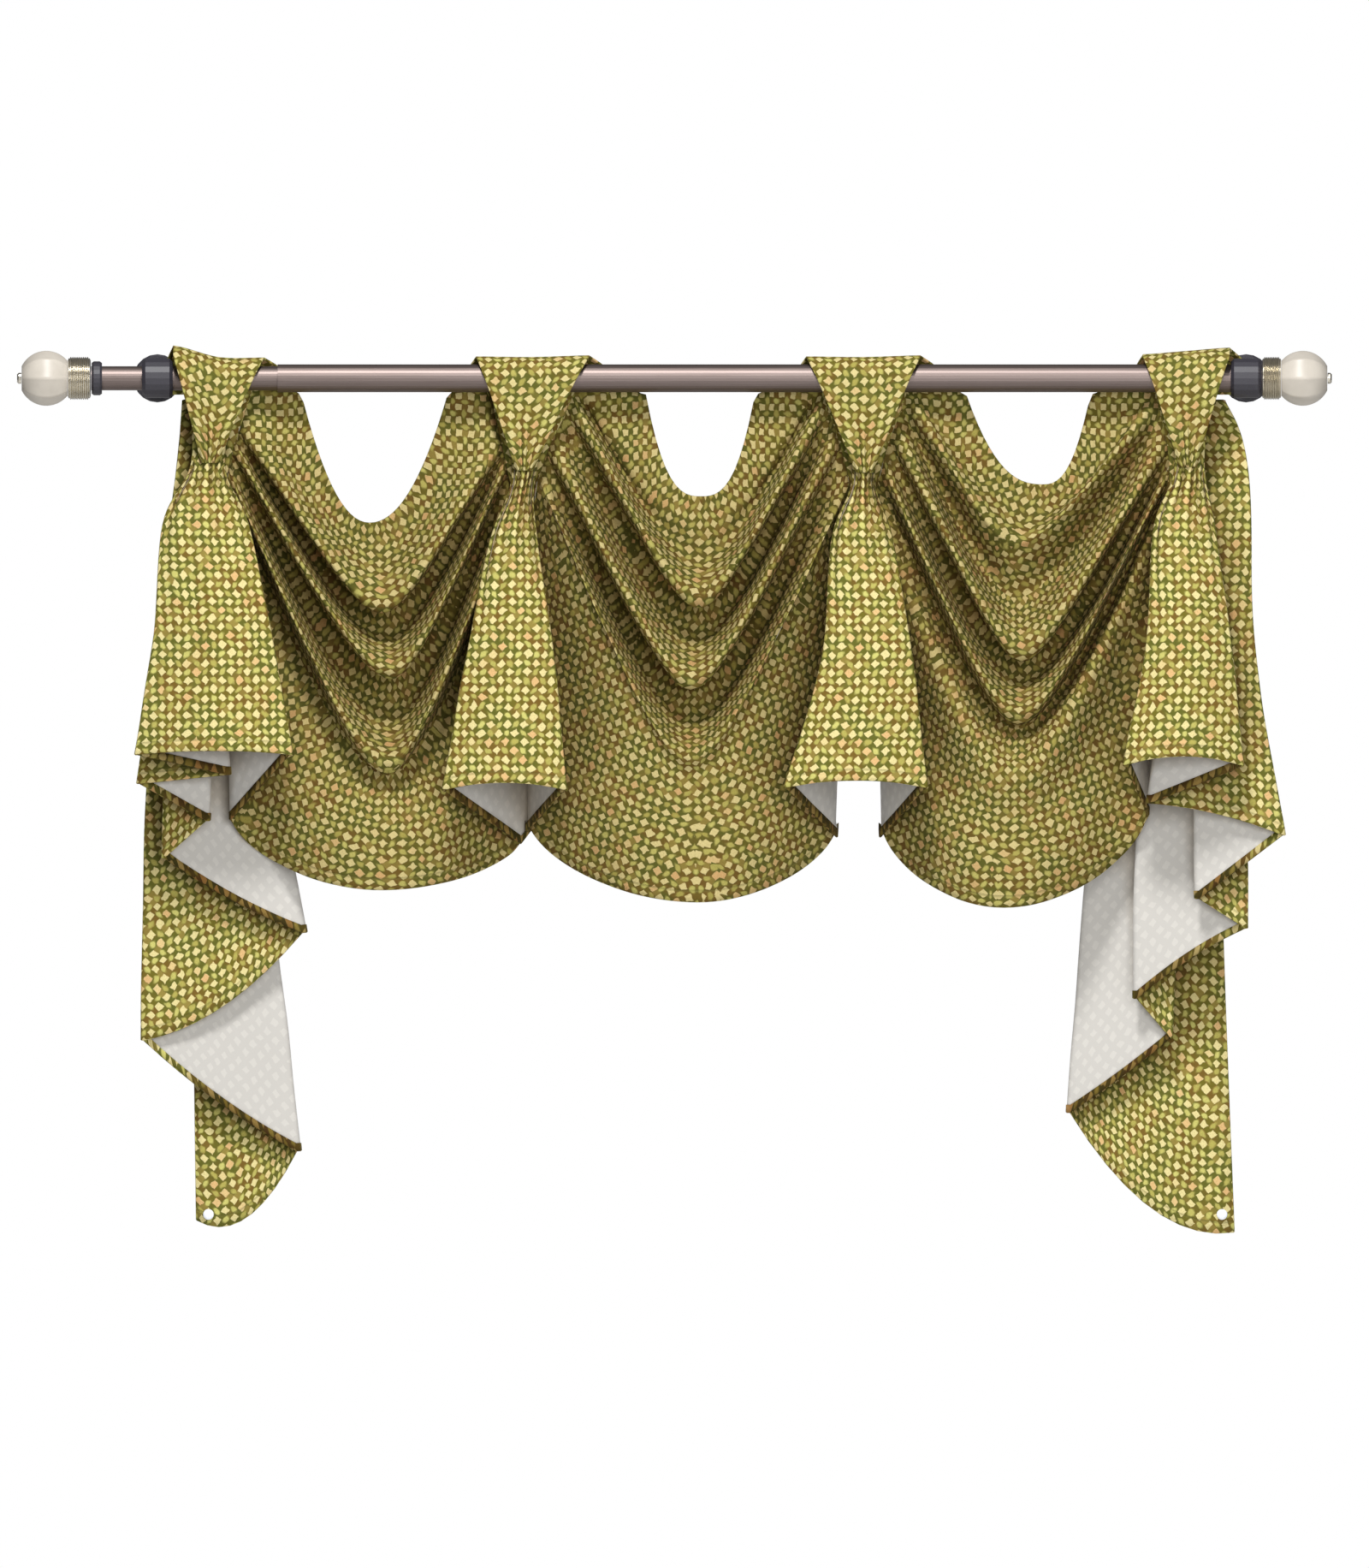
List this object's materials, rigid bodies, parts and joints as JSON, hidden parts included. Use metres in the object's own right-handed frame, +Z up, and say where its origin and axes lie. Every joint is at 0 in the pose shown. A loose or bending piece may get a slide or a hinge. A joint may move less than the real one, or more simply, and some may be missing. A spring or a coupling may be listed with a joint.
{
  "type": "window swag with its curtain rod",
  "caption": "Lined cloth window swag with trumpet horns and zigzag tails, tabbed over a telescoping curtain rod with wall brackets and ball finials.",
  "frame": {"origin": "on the wall plane, at the height of the rod's axis, midway along the cloth", "axes": "+X along the rod to the right as seen from the room, +Y into the wall, +Z up"},
  "size_m": [1.1987, 0.152, 0.8065],
  "materials": {
    "printed_cloth": "matte woven cotton with a small green and cream basket check",
    "lining_cloth": "matte plain weave, off white",
    "rod_metal": "satin brown nickel",
    "bracket_paint": "satin charcoal",
    "wire_metal": "bright fine winding",
    "ball_glass": "milky, softly faceted",
    "pin_head": "clear and smooth"
  },
  "bodies": {
    "root": {"face_cloth": "printed_cloth", "lining": "lining_cloth", "tab_1": "printed_cloth", "tab_2": "printed_cloth", "tab_3": "printed_cloth", "tab_4": "printed_cloth", "rod_wide_tube": "rod_metal", "rod_narrow_tube": "rod_metal", "bracket_left": "bracket_paint", "bracket_right": "bracket_paint", "neck_ring_left": "bracket_paint", "neck_left": "wire_metal", "neck_right": "wire_metal", "ball_left": "ball_glass", "ball_right": "ball_glass", "end_cap_left": "wire_metal", "end_cap_right": "wire_metal", "pin_left": "pin_head", "pin_right": "pin_head"}
  },
  "joints": []
}
